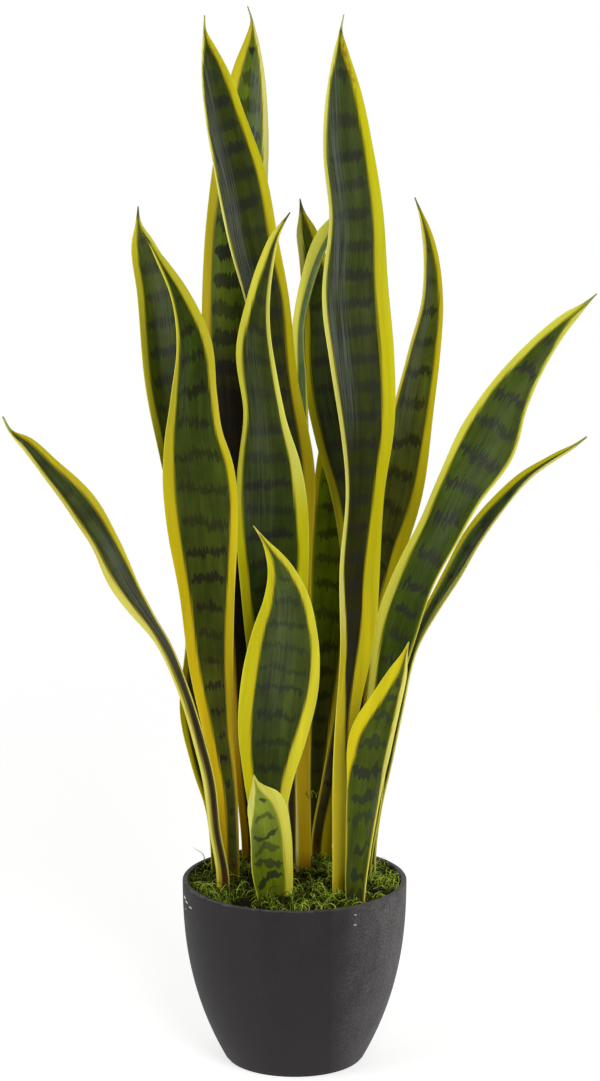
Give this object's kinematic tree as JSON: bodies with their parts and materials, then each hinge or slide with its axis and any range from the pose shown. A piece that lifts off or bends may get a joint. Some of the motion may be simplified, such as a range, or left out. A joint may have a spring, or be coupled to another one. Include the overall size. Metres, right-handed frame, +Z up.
{
  "type": "potted variegated snake plant",
  "caption": "Round matte pot filled with soil under a bed of moss, with tall upright and arching strap leaves that have yellow edges and dark cross-bands; stands on its flat foot.",
  "frame": {"origin": "middle of the pot's flat underside", "axes": "+Z up along the leaves, -Y towards the front, where the shortest leaf stands, +X to the right seen from the front"},
  "size_m": [0.4204, 0.1735, 0.7694],
  "materials": {
    "pot": "matte",
    "soil": "crumbly, matte",
    "moss": "curly fibres, matte",
    "leaf": "satin"
  },
  "bodies": {
    "root": {"pot": "pot", "soil": "soil", "moss": "moss", "leaf_tall_leaning": "leaf", "leaf_tall_back": "leaf", "leaf_tall_right": "leaf", "leaf_centre": "leaf", "leaf_left": "leaf", "leaf_left_back": "leaf", "leaf_arching_left": "leaf", "leaf_short_front": "leaf", "leaf_smallest": "leaf", "leaf_short_right": "leaf", "leaf_centre_back": "leaf", "leaf_edge_on": "leaf", "leaf_right_back": "leaf", "leaf_inner_back": "leaf", "leaf_leaning_right": "leaf", "leaf_arching_right": "leaf"}
  },
  "joints": []
}
